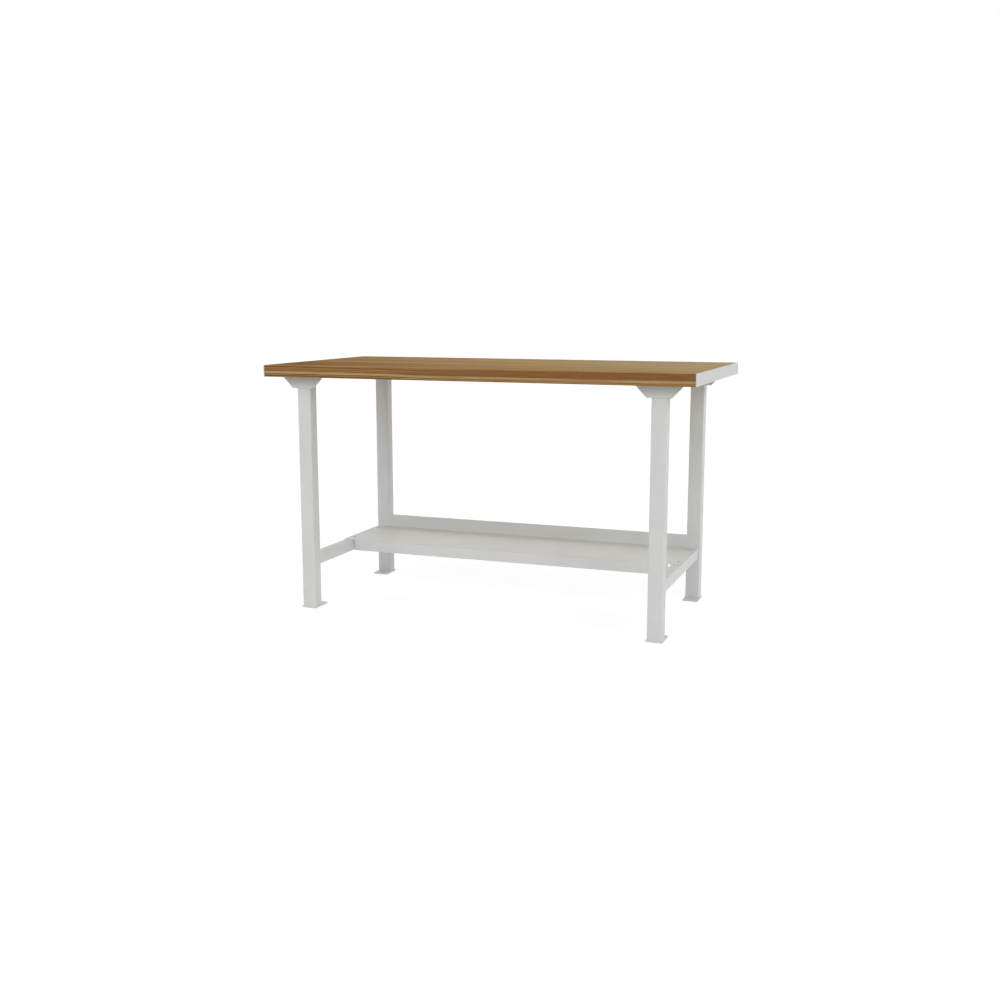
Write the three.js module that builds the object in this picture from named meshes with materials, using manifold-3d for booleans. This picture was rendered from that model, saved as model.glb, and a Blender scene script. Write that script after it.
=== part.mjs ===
// Assembly table: a wooden worktop on two welded leg frames, with a sheet steel shelf at half depth.
// Millimetres. X runs along the worktop, Y from front to back, Z up. The origin is on the floor,
// under the middle of the worktop.

import * as THREE from 'three';
import { mergeVertices } from 'three/addons/utils/BufferGeometryUtils.js';
import Module from 'manifold-3d';

const wasm = await Module();
wasm.setup();

// Whole table
const TABLE_LENGTH = 1500;
const TABLE_DEPTH = 750;
const TABLE_HEIGHT = 860;

// Worktop board and the bands on its ends
const TOP_THICKNESS = 40;
const TOP_EDGE_RADIUS = 2;
const BAND_THICKNESS = 3;

// Legs: rectangular tube, set in from the worktop's ends and long edges to the legs' outer faces
const LEG_WIDTH = 50;
const LEG_DEPTH = 45;
const LEG_WALL = 2;
const LEG_CORNER_RADIUS = 4;
const LEG_END_INSET = 100;
const LEG_EDGE_INSET = 52.5;

// Foot plates: a margin round three sides of the leg and a tongue towards the middle of the table
const FOOT_THICKNESS = 5;
const FOOT_MARGIN = 3;
const FOOT_TONGUE = 36;
const FOOT_CORNER_RADIUS = 3;
const ANCHOR_HOLE_DIAMETER = 11;

// Head brackets: an angle of folded sheet, with a trapezoid web outside the leg and a flange over it
const BRACKET_SHEET = 3;
const BRACKET_WEB_HEIGHT = 40;
const BRACKET_WING = 50;
const BRACKET_TOE = 15;
const BRACKET_FLANGE_DEPTH = 60;
const BRACKET_CORNER_RADIUS = 8;

// Wood screws that hold the worktop on the brackets
const WOOD_SCREW_DIAMETER = 5;
const WOOD_SCREW_LENGTH = 30;
const WOOD_SCREW_TIP = 6;
const WOOD_SCREW_HEAD_DIAMETER = 10;
const WOOD_SCREW_HEAD_HEIGHT = 3;
const WOOD_SCREW_RIM_HEIGHT = 1.5;
const WOOD_SCREW_ROW_SPACING = 28;
const WOOD_SCREW_CLEARANCE = 0.5;

// Side rails: rectangular tube between the front and the rear leg
const RAIL_WIDTH = 35;
const RAIL_HEIGHT = 40;
const RAIL_WALL = 2;
const RAIL_CORNER_RADIUS = 3;
const RAIL_FLOOR_CLEARANCE = 150;

// Shelf: folded sheet on the rails, from the rear legs forward
const SHELF_SHEET = 1.5;
const SHELF_DEPTH = 297;
const SHELF_RAIL_OVERHANG = 2.5;
const SHELF_FLANGE_HEIGHT = 40;
const SHELF_FLANGE_RAIL_GAP = 9;
const SHELF_UPSTAND_HEIGHT = 48;
const SHELF_BEND_RADIUS = 2;
const SHELF_LEG_GAP = 1;

// Machine screws and rivet nuts that hold the shelf on the rails
const SHELF_SCREW_DIAMETER = 6;
const SHELF_SCREW_LENGTH = 14;
const SHELF_SCREW_HEAD_DIAMETER = 12;
const SHELF_SCREW_HEAD_HEIGHT = 2.5;
const SHELF_SCREW_RIM_HEIGHT = 0.8;
const SHELF_SCREW_EDGE_DISTANCE = 50;
const SHELF_SCREW_CLEARANCE = 0.5;
const NUT_WALL = 1.3;
const NUT_LENGTH = 13;
const NUT_BULGE = 1.5;
const NUT_BULGE_HEIGHT = 4;

// Gap that is left between two pieces that are welded, screwed or glued together
const JOINT_GAP = 0.3;

// Screw recesses, as shares of the head that they are cut in, and the facets of round pieces
const RECESS_SPAN_SHARE = 0.5;
const RECESS_SLOT_SHARE = 0.12;
const RECESS_DEPTH_SHARE = 0.6;
const SCREW_SEGMENTS = 12;
const HOLE_SEGMENTS = 16;
const CORNER_SEGMENTS = 3;
const CUT_MARGIN = 1;
const MERGE_TOLERANCE = 1e-4;

// Places that follow from the sizes above
const legX = TABLE_LENGTH / 2 - LEG_END_INSET - LEG_WIDTH / 2;
const legY = TABLE_DEPTH / 2 - LEG_EDGE_INSET - LEG_DEPTH / 2;
const topUnderside = TABLE_HEIGHT - TOP_THICKNESS;
const flangeTop = topUnderside - JOINT_GAP;
const flangeUnderside = flangeTop - BRACKET_SHEET;
const legBottom = FOOT_THICKNESS + JOINT_GAP;
const legTop = flangeUnderside - JOINT_GAP;
const webInside = -LEG_DEPTH / 2 - JOINT_GAP;
const webOutside = webInside - BRACKET_SHEET;
const bracketHalfWidth = LEG_WIDTH / 2 + BRACKET_WING;
const bracketToeHalfWidth = LEG_WIDTH / 2 + BRACKET_TOE;
const woodScrewX = LEG_WIDTH / 2 + BRACKET_WING / 2;
const woodScrewRowY = webInside + (BRACKET_FLANGE_DEPTH - BRACKET_SHEET) / 2;
const railTop = RAIL_FLOOR_CLEARANCE + RAIL_HEIGHT;
const railEndY = legY - LEG_DEPTH / 2 - JOINT_GAP;
const shelfUnderside = railTop + JOINT_GAP;
const shelfTop = shelfUnderside + SHELF_SHEET;
const shelfRear = legY - LEG_DEPTH / 2 - SHELF_LEG_GAP;
const shelfFront = shelfRear - SHELF_DEPTH;
const shelfHalfLength = legX + RAIL_WIDTH / 2 + SHELF_RAIL_OVERHANG;
const shelfFlangeHalfLength = legX - RAIL_WIDTH / 2 - SHELF_FLANGE_RAIL_GAP;
const shelfBendOutside = SHELF_BEND_RADIUS + SHELF_SHEET;
const nutRadius = SHELF_SCREW_DIAMETER / 2 + JOINT_GAP + NUT_WALL;

const ENDS = [
  { name: 'left', side: -1 },
  { name: 'right', side: 1 },
];
const ROWS = [
  { name: 'front', side: -1, turn: 0 },
  { name: 'rear', side: 1, turn: Math.PI },
];

// Finishes
const FRAME_PAINT = { color: 0xc9cbc9, roughness: 0.45, metalness: 0.0 };
const BOARD_WOOD = { color: 0x96764a, roughness: 0.5, metalness: 0.0 };
const BAND_GREY = { color: 0xc8c9c8, roughness: 0.5, metalness: 0.0 };
const ZINC = { color: 0xb9bcc0, roughness: 0.35, metalness: 0.9 };

// Closed solids for joining and cutting

function solidOf(geometry) {
  const bare = geometry.clone();
  bare.deleteAttribute('normal');
  bare.deleteAttribute('uv');
  const merged = mergeVertices(bare, MERGE_TOLERANCE);
  const corners = merged.index.array;
  const kept = [];
  for (let i = 0; i < corners.length; i += 3) {
    const [a, b, c] = corners.subarray(i, i + 3);
    if (a !== b && b !== c && c !== a) {
      kept.push(a, b, c);
    }
  }
  return new wasm.Manifold(new wasm.Mesh({
    numProp: 3,
    vertProperties: merged.attributes.position.array,
    triVerts: Uint32Array.from(kept),
  }));
}

function geometryOf(solid) {
  const mesh = solid.getMesh();
  const geometry = new THREE.BufferGeometry();
  geometry.setAttribute('position', new THREE.BufferAttribute(mesh.vertProperties, 3));
  geometry.setIndex(new THREE.BufferAttribute(mesh.triVerts, 1));
  geometry.computeVertexNormals();
  return geometry;
}

function cut(geometry, cutters) {
  let solid = solidOf(geometry);
  for (const cutter of cutters) {
    solid = solid.subtract(solidOf(cutter));
  }
  return geometryOf(solid);
}

// Extrusions: a shape drawn in (Y, Z) along X, in (X, Z) along Y, and in (X, Y) along Z

function extrude(shape, depth) {
  return new THREE.ExtrudeGeometry(shape, { depth, bevelEnabled: false, curveSegments: CORNER_SEGMENTS });
}

function extrudeAlongX(shape, from, to) {
  const geometry = extrude(shape, to - from);
  geometry.applyMatrix4(new THREE.Matrix4().makeBasis(
    new THREE.Vector3(0, 1, 0), new THREE.Vector3(0, 0, 1), new THREE.Vector3(1, 0, 0)));
  return geometry.translate(from, 0, 0);
}

function extrudeAlongY(shape, from, to) {
  const geometry = extrude(shape, to - from);
  geometry.applyMatrix4(new THREE.Matrix4().makeBasis(
    new THREE.Vector3(1, 0, 0), new THREE.Vector3(0, 0, 1), new THREE.Vector3(0, -1, 0)));
  return geometry.translate(0, to, 0);
}

function extrudeAlongZ(shape, from, to) {
  return extrude(shape, to - from).translate(0, 0, from);
}

function box(from, to) {
  const size = to.map((value, axis) => value - from[axis]);
  const centre = to.map((value, axis) => (value + from[axis]) / 2);
  return new THREE.BoxGeometry(...size).translate(...centre);
}

function roundBar(radius, x, y, from, to, segments = HOLE_SEGMENTS) {
  const geometry = new THREE.CylinderGeometry(radius, radius, to - from, segments);
  return geometry.rotateX(Math.PI / 2).translate(x, y, (from + to) / 2);
}

function turned(profile) {
  const points = profile.map(([radius, height]) => new THREE.Vector2(radius, height));
  return new THREE.LatheGeometry(points, SCREW_SEGMENTS).rotateX(Math.PI / 2);
}

function polygon(points) {
  return new THREE.Shape(points.map(([u, v]) => new THREE.Vector2(u, v)));
}

function roundedRectangle(path, left, bottom, right, top, radius) {
  path.moveTo(left + radius, bottom);
  path.lineTo(right - radius, bottom);
  path.absarc(right - radius, bottom + radius, radius, -Math.PI / 2, 0, false);
  path.lineTo(right, top - radius);
  path.absarc(right - radius, top - radius, radius, 0, Math.PI / 2, false);
  path.lineTo(left + radius, top);
  path.absarc(left + radius, top - radius, radius, Math.PI / 2, Math.PI, false);
  path.lineTo(left, bottom + radius);
  path.absarc(left + radius, bottom + radius, radius, Math.PI, Math.PI * 1.5, false);
  return path;
}

function tubeSection(width, height, wall, radius) {
  const section = roundedRectangle(new THREE.Shape(), -width / 2, -height / 2,
    width / 2, height / 2, radius);
  const bore = roundedRectangle(new THREE.Path(), wall - width / 2, wall - height / 2,
    width / 2 - wall, height / 2 - wall, radius - wall);
  section.holes.push(bore);
  return section;
}

function piece(name, geometry, finish) {
  const mesh = new THREE.Mesh(geometry, new THREE.MeshStandardMaterial(finish));
  mesh.name = name;
  return mesh;
}

// Worktop: the board with a pilot hole for each wood screw, and a band on each end

function woodScrewPlaces() {
  const places = [];
  for (const side of [-1, 1]) {
    for (const row of [-1, 1]) {
      places.push([side * woodScrewX, woodScrewRowY + row * WOOD_SCREW_ROW_SPACING / 2]);
    }
  }
  return places;
}

function boardSection() {
  return roundedRectangle(new THREE.Shape(), -TABLE_DEPTH / 2, topUnderside, TABLE_DEPTH / 2, TABLE_HEIGHT,
    TOP_EDGE_RADIUS);
}

function worktop() {
  const halfLength = TABLE_LENGTH / 2 - BAND_THICKNESS - JOINT_GAP;
  const pilotRadius = WOOD_SCREW_DIAMETER / 2 + JOINT_GAP;
  const pilotTop = flangeUnderside + WOOD_SCREW_LENGTH + CUT_MARGIN;
  const pilots = [];
  for (const end of ENDS) {
    for (const row of ROWS) {
      for (const [x, y] of woodScrewPlaces()) {
        pilots.push(roundBar(pilotRadius, end.side * legX + x, row.side * (legY - y),
          topUnderside - CUT_MARGIN, pilotTop, SCREW_SEGMENTS));
      }
    }
  }
  return piece('worktop', cut(extrudeAlongX(boardSection(), -halfLength, halfLength), pilots), BOARD_WOOD);
}

function endBand(end) {
  const geometry = extrudeAlongX(boardSection(), -BAND_THICKNESS / 2, BAND_THICKNESS / 2);
  const mesh = piece(`end_band_${end.name}`, geometry, BAND_GREY);
  mesh.position.x = end.side * (TABLE_LENGTH - BAND_THICKNESS) / 2;
  return mesh;
}

// Corner: leg, foot plate, head bracket and its screws, round the leg's axis, with +Y towards the middle

function leg(name) {
  const section = tubeSection(LEG_WIDTH, LEG_DEPTH, LEG_WALL, LEG_CORNER_RADIUS);
  return piece(`leg_${name}`, extrudeAlongZ(section, legBottom, legTop), FRAME_PAINT);
}

function footPlate(name) {
  const halfWidth = LEG_WIDTH / 2 + FOOT_MARGIN;
  const outline = roundedRectangle(new THREE.Shape(), -halfWidth, -LEG_DEPTH / 2 - FOOT_MARGIN,
    halfWidth, LEG_DEPTH / 2 + FOOT_TONGUE, FOOT_CORNER_RADIUS);
  const anchorY = (LEG_DEPTH + FOOT_TONGUE) / 2;
  const hole = roundBar(ANCHOR_HOLE_DIAMETER / 2, 0, anchorY, -CUT_MARGIN, FOOT_THICKNESS + CUT_MARGIN);
  return piece(`foot_plate_${name}`, cut(extrudeAlongZ(outline, 0, FOOT_THICKNESS), [hole]), FRAME_PAINT);
}

function bracketSection() {
  const section = new THREE.Shape();
  const flangeEnd = webOutside + BRACKET_FLANGE_DEPTH;
  section.moveTo(webOutside, flangeTop - BRACKET_WEB_HEIGHT);
  section.lineTo(webInside, flangeTop - BRACKET_WEB_HEIGHT);
  section.lineTo(webInside, flangeUnderside);
  section.lineTo(flangeEnd, flangeUnderside);
  section.lineTo(flangeEnd, flangeTop);
  section.absarc(webOutside + BRACKET_SHEET, flangeTop - BRACKET_SHEET, BRACKET_SHEET,
    Math.PI / 2, Math.PI, false);
  return section;
}

function headBracket(name) {
  const angle = extrudeAlongX(bracketSection(), -bracketHalfWidth, bracketHalfWidth);
  const webBottom = flangeTop - BRACKET_WEB_HEIGHT;
  const flangeEnd = webOutside + BRACKET_FLANGE_DEPTH;
  const cutters = [];
  for (const side of [-1, 1]) {
    const slope = polygon([
      [side * bracketHalfWidth, flangeUnderside],
      [side * bracketToeHalfWidth, webBottom],
      [side * bracketToeHalfWidth, webBottom - CUT_MARGIN],
      [side * (bracketHalfWidth + CUT_MARGIN), webBottom - CUT_MARGIN],
      [side * (bracketHalfWidth + CUT_MARGIN), flangeUnderside],
    ]);
    cutters.push(extrudeAlongY(slope, webOutside - CUT_MARGIN, webInside + CUT_MARGIN));
    const corner = polygon([
      [side * (bracketHalfWidth - BRACKET_CORNER_RADIUS), flangeEnd + CUT_MARGIN],
      [side * (bracketHalfWidth - BRACKET_CORNER_RADIUS), flangeEnd],
      [side * bracketHalfWidth, flangeEnd - BRACKET_CORNER_RADIUS],
      [side * (bracketHalfWidth + CUT_MARGIN), flangeEnd - BRACKET_CORNER_RADIUS],
      [side * (bracketHalfWidth + CUT_MARGIN), flangeEnd + CUT_MARGIN],
    ]);
    cutters.push(extrudeAlongZ(corner, flangeUnderside - CUT_MARGIN, flangeTop + CUT_MARGIN));
  }
  const holeRadius = WOOD_SCREW_DIAMETER / 2 + WOOD_SCREW_CLEARANCE;
  for (const [x, y] of woodScrewPlaces()) {
    cutters.push(roundBar(holeRadius, x, y, flangeUnderside - CUT_MARGIN, flangeTop + CUT_MARGIN));
  }
  return piece(`head_bracket_${name}`, cut(angle, cutters), FRAME_PAINT);
}

// Cross recess in a head that stands on Z = 0

function crossRecess(headDiameter, headHeight) {
  const span = headDiameter * RECESS_SPAN_SHARE / 2;
  const slot = headDiameter * RECESS_SLOT_SHARE / 2;
  const bottom = headHeight * (1 - RECESS_DEPTH_SHARE);
  const top = headHeight + CUT_MARGIN;
  return [
    box([-span, -slot, bottom], [span, slot, top]),
    box([-slot, -span, bottom], [slot, span, top]),
  ];
}

function woodScrew() {
  const shank = WOOD_SCREW_DIAMETER / 2;
  const head = WOOD_SCREW_HEAD_DIAMETER / 2;
  const shape = turned([
    [0, -WOOD_SCREW_LENGTH],
    [shank, WOOD_SCREW_TIP - WOOD_SCREW_LENGTH],
    [shank, 0],
    [head, 0],
    [head, WOOD_SCREW_RIM_HEIGHT],
    [head - WOOD_SCREW_RIM_HEIGHT, WOOD_SCREW_HEAD_HEIGHT],
    [0, WOOD_SCREW_HEAD_HEIGHT],
  ]);
  return cut(shape, crossRecess(WOOD_SCREW_HEAD_DIAMETER, WOOD_SCREW_HEAD_HEIGHT)).rotateX(Math.PI);
}

function corner(end, row) {
  const name = `${row.name}_${end.name}`;
  const group = new THREE.Group();
  group.add(leg(name), footPlate(name), headBracket(name));
  woodScrewPlaces().forEach(([x, y], index) => {
    const screw = piece(`worktop_screw_${name}_${index + 1}`, woodScrew(), ZINC);
    screw.position.set(x, y, flangeUnderside - JOINT_GAP);
    group.add(screw);
  });
  group.position.set(end.side * legX, row.side * legY, 0);
  group.rotation.z = row.turn;
  return group;
}

// Shelf screws stand on the rails' centre lines, in from the shelf's front edge and from its upstand

function shelfScrewRows() {
  return [
    { name: 'front', y: shelfFront + SHELF_SCREW_EDGE_DISTANCE },
    { name: 'rear', y: shelfRear - SHELF_SCREW_EDGE_DISTANCE },
  ];
}

function sideRail(end) {
  const section = tubeSection(RAIL_WIDTH, RAIL_HEIGHT, RAIL_WALL, RAIL_CORNER_RADIUS);
  const tube = extrudeAlongY(section, -railEndY, railEndY).translate(0, 0, railTop - RAIL_HEIGHT / 2);
  const holes = shelfScrewRows().map(({ y }) => (
    roundBar(nutRadius + JOINT_GAP, 0, y, railTop - RAIL_WALL - CUT_MARGIN, railTop + CUT_MARGIN)));
  return piece(`side_rail_${end.name}`, cut(tube, holes), FRAME_PAINT);
}

function rivetNut() {
  const bore = SHELF_SCREW_DIAMETER / 2 + JOINT_GAP;
  const bulgeTop = -RAIL_WALL - JOINT_GAP;
  const bulgeMiddle = bulgeTop - NUT_BULGE_HEIGHT / 2;
  return turned([
    [bore, 0],
    [bore, -NUT_LENGTH],
    [nutRadius, -NUT_LENGTH],
    [nutRadius, bulgeTop - NUT_BULGE_HEIGHT],
    [nutRadius + NUT_BULGE, bulgeMiddle],
    [nutRadius, bulgeTop],
    [nutRadius, 0],
    [bore, 0],
  ]);
}

function shelfScrew() {
  const shank = SHELF_SCREW_DIAMETER / 2;
  const head = SHELF_SCREW_HEAD_DIAMETER / 2;
  const shape = turned([
    [0, -SHELF_SCREW_LENGTH],
    [shank, -SHELF_SCREW_LENGTH],
    [shank, 0],
    [head, 0],
    [head, SHELF_SCREW_RIM_HEIGHT],
    [head - SHELF_SCREW_HEAD_HEIGHT, SHELF_SCREW_HEAD_HEIGHT],
    [0, SHELF_SCREW_HEAD_HEIGHT],
  ]);
  return cut(shape, crossRecess(SHELF_SCREW_HEAD_DIAMETER, SHELF_SCREW_HEAD_HEIGHT));
}

function side(end) {
  const group = new THREE.Group();
  group.add(sideRail(end));
  for (const { name, y } of shelfScrewRows()) {
    const nut = piece(`rivet_nut_${end.name}_${name}`, rivetNut(), ZINC);
    nut.position.set(0, y, railTop);
    const screw = piece(`shelf_screw_${end.name}_${name}`, shelfScrew(), ZINC);
    screw.position.set(0, y, shelfTop + JOINT_GAP);
    group.add(nut, screw);
  }
  group.position.x = end.side * legX;
  return group;
}

// Shelf: one bent sheet, its front flange cut back between the rails

function shelfSection() {
  const section = new THREE.Shape();
  const frontBend = [shelfFront + shelfBendOutside, shelfTop - shelfBendOutside];
  const rearBend = [shelfRear - shelfBendOutside, shelfUnderside + shelfBendOutside];
  const flangeBottom = shelfTop - SHELF_FLANGE_HEIGHT;
  const upstandTop = shelfTop + SHELF_UPSTAND_HEIGHT;
  section.moveTo(shelfFront + SHELF_SHEET, flangeBottom);
  section.absarc(...frontBend, SHELF_BEND_RADIUS, Math.PI, Math.PI / 2, true);
  section.absarc(...rearBend, shelfBendOutside, -Math.PI / 2, 0, false);
  section.lineTo(shelfRear, upstandTop);
  section.lineTo(shelfRear - SHELF_SHEET, upstandTop);
  section.absarc(...rearBend, SHELF_BEND_RADIUS, 0, -Math.PI / 2, true);
  section.absarc(...frontBend, shelfBendOutside, Math.PI / 2, Math.PI, false);
  section.lineTo(shelfFront, flangeBottom);
  return section;
}

function shelf() {
  const sheet = extrudeAlongX(shelfSection(), -shelfHalfLength, shelfHalfLength);
  const flangeBottom = shelfTop - SHELF_FLANGE_HEIGHT;
  const holeRadius = SHELF_SCREW_DIAMETER / 2 + SHELF_SCREW_CLEARANCE;
  const cutters = [];
  for (const end of ENDS) {
    const notchX = [end.side * shelfFlangeHalfLength, end.side * (shelfHalfLength + CUT_MARGIN)];
    cutters.push(box(
      [Math.min(...notchX), shelfFront - CUT_MARGIN, flangeBottom - CUT_MARGIN],
      [Math.max(...notchX), shelfFront + shelfBendOutside, shelfTop + CUT_MARGIN]));
    for (const { y } of shelfScrewRows()) {
      cutters.push(roundBar(holeRadius, end.side * legX, y,
        shelfUnderside - CUT_MARGIN, shelfTop + CUT_MARGIN));
    }
  }
  return piece('shelf', cut(sheet, cutters), FRAME_PAINT);
}

// Assembly

const table = new THREE.Group();
table.add(worktop(), shelf());
for (const end of ENDS) {
  table.add(endBand(end), side(end));
  for (const row of ROWS) {
    table.add(corner(end, row));
  }
}

export default table;
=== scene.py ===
import math

import bmesh
import bpy
from mathutils import Matrix, Vector


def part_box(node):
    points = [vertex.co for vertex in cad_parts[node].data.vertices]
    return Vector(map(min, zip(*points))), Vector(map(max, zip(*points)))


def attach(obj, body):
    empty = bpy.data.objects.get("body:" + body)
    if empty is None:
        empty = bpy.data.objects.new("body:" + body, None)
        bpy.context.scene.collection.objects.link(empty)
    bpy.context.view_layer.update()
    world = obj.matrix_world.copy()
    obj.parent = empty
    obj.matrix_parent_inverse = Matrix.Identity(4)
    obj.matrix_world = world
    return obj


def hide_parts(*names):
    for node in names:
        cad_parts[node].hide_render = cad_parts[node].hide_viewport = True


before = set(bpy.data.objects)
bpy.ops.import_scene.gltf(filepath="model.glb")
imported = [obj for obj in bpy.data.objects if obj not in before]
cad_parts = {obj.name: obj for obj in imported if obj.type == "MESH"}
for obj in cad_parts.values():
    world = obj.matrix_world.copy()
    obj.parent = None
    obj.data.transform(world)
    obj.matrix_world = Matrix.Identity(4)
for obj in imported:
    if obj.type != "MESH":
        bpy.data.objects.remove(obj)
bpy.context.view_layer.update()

# Assembly table: wooden worktop on two welded steel frames, with a folded sheet shelf.
# Metres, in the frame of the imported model: X along the worktop, Y from front to back, Z up.

# Camera, fitted to the straight edges of the table in the photograph
CAMERA_PLACE = (1.4413, -3.8884, 1.0645)
CAMERA_TURN = math.radians(20.617)
CAMERA_TILT = math.radians(90 - 9.442)
CAMERA_LENS_MM = 42.284
CAMERA_SENSOR_MM = 36.0

# Light: a white surrounding, brightest in a ring at 20 to 40 degrees, and a wide lamp from the
# right front. The stops give the sine of an elevation and the share of SKY_LIGHT there.
SKY_LIGHT = 1.92
SKY_STOPS = ((0.0, 0.06), (0.35, 0.87), (0.6, 1.0), (0.8, 0.06), (1.0, 0.03))
LAMP_LIGHT = 0.38
LAMP_ELEVATION = math.radians(30)
LAMP_TURN = math.radians(50)
LAMP_ANGLE = math.radians(30)
FLOOR_HALF = 40.0
FLOOR_DROP = 0.0004
FLOOR_ALBEDO = 0.9
FLOOR_SHADOW_SHARE = 0.25
FLOOR_GLOW = 0.83

# Steel frame
TUBE_WALL = 0.002
LEG_CORNER = 0.004
RAIL_CORNER = 0.003
CORNER_SEGMENTS = 6
PLATE_CORNER = 0.003
PLATE_EDGE = 0.0006
PLATE_SIDE_POINTS = 8
ANCHOR_RADIUS = 0.0055
BRACKET_SHEET = 0.003
BRACKET_BEND = 0.001
BRACKET_TOE = 0.015
BRACKET_TOE_CORNER = 0.0015
BRACKET_FLANGE_CORNER = 0.008
SHELF_SHEET = 0.0015
SHELF_BEND = 0.002
SHELF_FLANGE_RAIL_GAP = 0.009
BEND_SEGMENTS = 6
SHEET_EDGE = 0.0003
BEVEL_SEGMENTS = 2
BEVEL_ANGLE = math.radians(50)

# Weld beads
WELD_RADIUS = 0.0017
WELD_RIPPLE = 0.14
WELD_PITCH = 0.0032
WELD_STEPS = 5
WELD_END = 0.05
WELD_SIDES = 8
WELD_LEAST_STEPS = 4

# Worktop, end bands and screws
BOARD_EDGE = 0.002
BAND_EDGE = 0.0004
HEAD_SEGMENTS = 32
HEAD_STEPS = 6
HEAD_RIM_SHARE = 1 / 3
SCREW_TIP_SHARE = 0.25
RECESS_SPAN_SHARE = 0.5
RECESS_SLOT_SHARE = 0.12
RECESS_DEPTH_SHARE = 0.6
WOOD_SCREW = {"head_height": 0.003, "shank_radius": 0.0025, "tip": 0.006}
SHELF_SCREW = {"head_height": 0.0025, "shank_radius": 0.003, "tip": 0.001}
CUTTER_EXCESS = 0.001
SMOOTH_ANGLE = math.radians(32)

ENDS = ("left", "right")
ROWS = ("front", "rear")
CORNERS = [(row, end) for row in ROWS for end in ENDS]
AXIS_Y = 1
AXIS_Z = 2


# Shader nodes

def fill_ramp(ramp, stops):
    """Puts stops, each a position and a colour, on a new colour ramp."""
    elements = ramp.color_ramp.elements
    while len(elements) < len(stops):
        elements.new(1.0)
    for element, (position, colour) in zip(elements, stops):
        element.position = position
        element.color = (*colour, 1.0)


class Shader:
    """A material's node tree, with one short call for each kind of node."""

    def __init__(self, name):
        self.material = bpy.data.materials.new(name)
        self.material.use_nodes = True
        self.tree = self.material.node_tree
        self.tree.nodes.clear()
        self.surface = self.node("ShaderNodeBsdfPrincipled")
        out = self.node("ShaderNodeOutputMaterial")
        self.link(self.surface.outputs["BSDF"], out.inputs["Surface"])

    def node(self, kind, **settings):
        made = self.tree.nodes.new(kind)
        for key, value in settings.items():
            setattr(made, key, value)
        return made

    def link(self, source, target):
        self.tree.links.new(source, target)

    def feed(self, target, value):
        if isinstance(value, bpy.types.NodeSocket):
            self.link(value, target)
        else:
            target.default_value = value

    def place(self):
        return self.node("ShaderNodeTexCoord").outputs["Object"]

    def split(self, vector):
        made = self.node("ShaderNodeSeparateXYZ")
        self.feed(made.inputs[0], vector)
        return made.outputs[0], made.outputs[1], made.outputs[2]

    def join(self, x, y, z):
        made = self.node("ShaderNodeCombineXYZ")
        for target, value in zip(made.inputs, (x, y, z)):
            self.feed(target, value)
        return made.outputs[0]

    def stretched(self, vector, scale):
        made = self.node("ShaderNodeVectorMath", operation="MULTIPLY")
        self.feed(made.inputs[0], vector)
        made.inputs[1].default_value = scale
        return made.outputs[0]

    def noise(self, vector, scale=1.0, detail=3.0, roughness=0.5):
        made = self.node("ShaderNodeTexNoise")
        self.feed(made.inputs["Vector"], vector)
        made.inputs["Scale"].default_value = scale
        made.inputs["Detail"].default_value = detail
        made.inputs["Roughness"].default_value = roughness
        return made.outputs[0]

    def math(self, operation, a, b=0.0):
        made = self.node("ShaderNodeMath", operation=operation)
        self.feed(made.inputs[0], a)
        self.feed(made.inputs[1], b)
        return made.outputs[0]

    def remap(self, value, low, high, to_low=0.0, to_high=1.0, smooth=False):
        made = self.node("ShaderNodeMapRange")
        made.interpolation_type = "SMOOTHSTEP" if smooth else "LINEAR"
        self.feed(made.inputs["Value"], value)
        made.inputs["From Min"].default_value = low
        made.inputs["From Max"].default_value = high
        made.inputs["To Min"].default_value = to_low
        made.inputs["To Max"].default_value = to_high
        return made.outputs[0]

    def ramp(self, value, stops):
        made = self.node("ShaderNodeValToRGB")
        fill_ramp(made, stops)
        self.feed(made.inputs[0], value)
        return made.outputs[0]

    def mix(self, share, a, b):
        made = self.node("ShaderNodeMix", data_type="RGBA")
        self.feed(made.inputs[0], share)
        for target, value in ((made.inputs[6], a), (made.inputs[7], b)):
            self.feed(target, value if isinstance(value, bpy.types.NodeSocket) else (*value, 1.0))
        return made.outputs[2]

    def bump(self, height, distance, strength):
        made = self.node("ShaderNodeBump")
        made.inputs["Strength"].default_value = strength
        made.inputs["Distance"].default_value = distance
        self.feed(made.inputs["Height"], height)
        self.link(made.outputs[0], self.surface.inputs["Normal"])

    def edge_share(self, radius):
        """1 on sharp edges and 0 on flat faces."""
        rounded = self.node("ShaderNodeBevel", samples=EDGE_SAMPLES)
        rounded.inputs["Radius"].default_value = radius
        flat = self.node("ShaderNodeNewGeometry").outputs["Normal"]
        dot = self.node("ShaderNodeVectorMath", operation="DOT_PRODUCT")
        self.link(rounded.outputs[0], dot.inputs[0])
        self.link(flat, dot.inputs[1])
        return self.remap(dot.outputs["Value"], *EDGE_COSINES)

    def set(self, **values):
        for key, value in values.items():
            self.feed(self.surface.inputs[key.replace("_", " ")], value)


def linear(red, green, blue):
    """Scene colour of an 8-bit display colour."""
    def channel(value):
        share = value / 255
        return share / 12.92 if share <= 0.04045 else ((share + 0.055) / 1.055) ** 2.4
    return tuple(channel(value) for value in (red, green, blue))


# Materials

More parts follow.
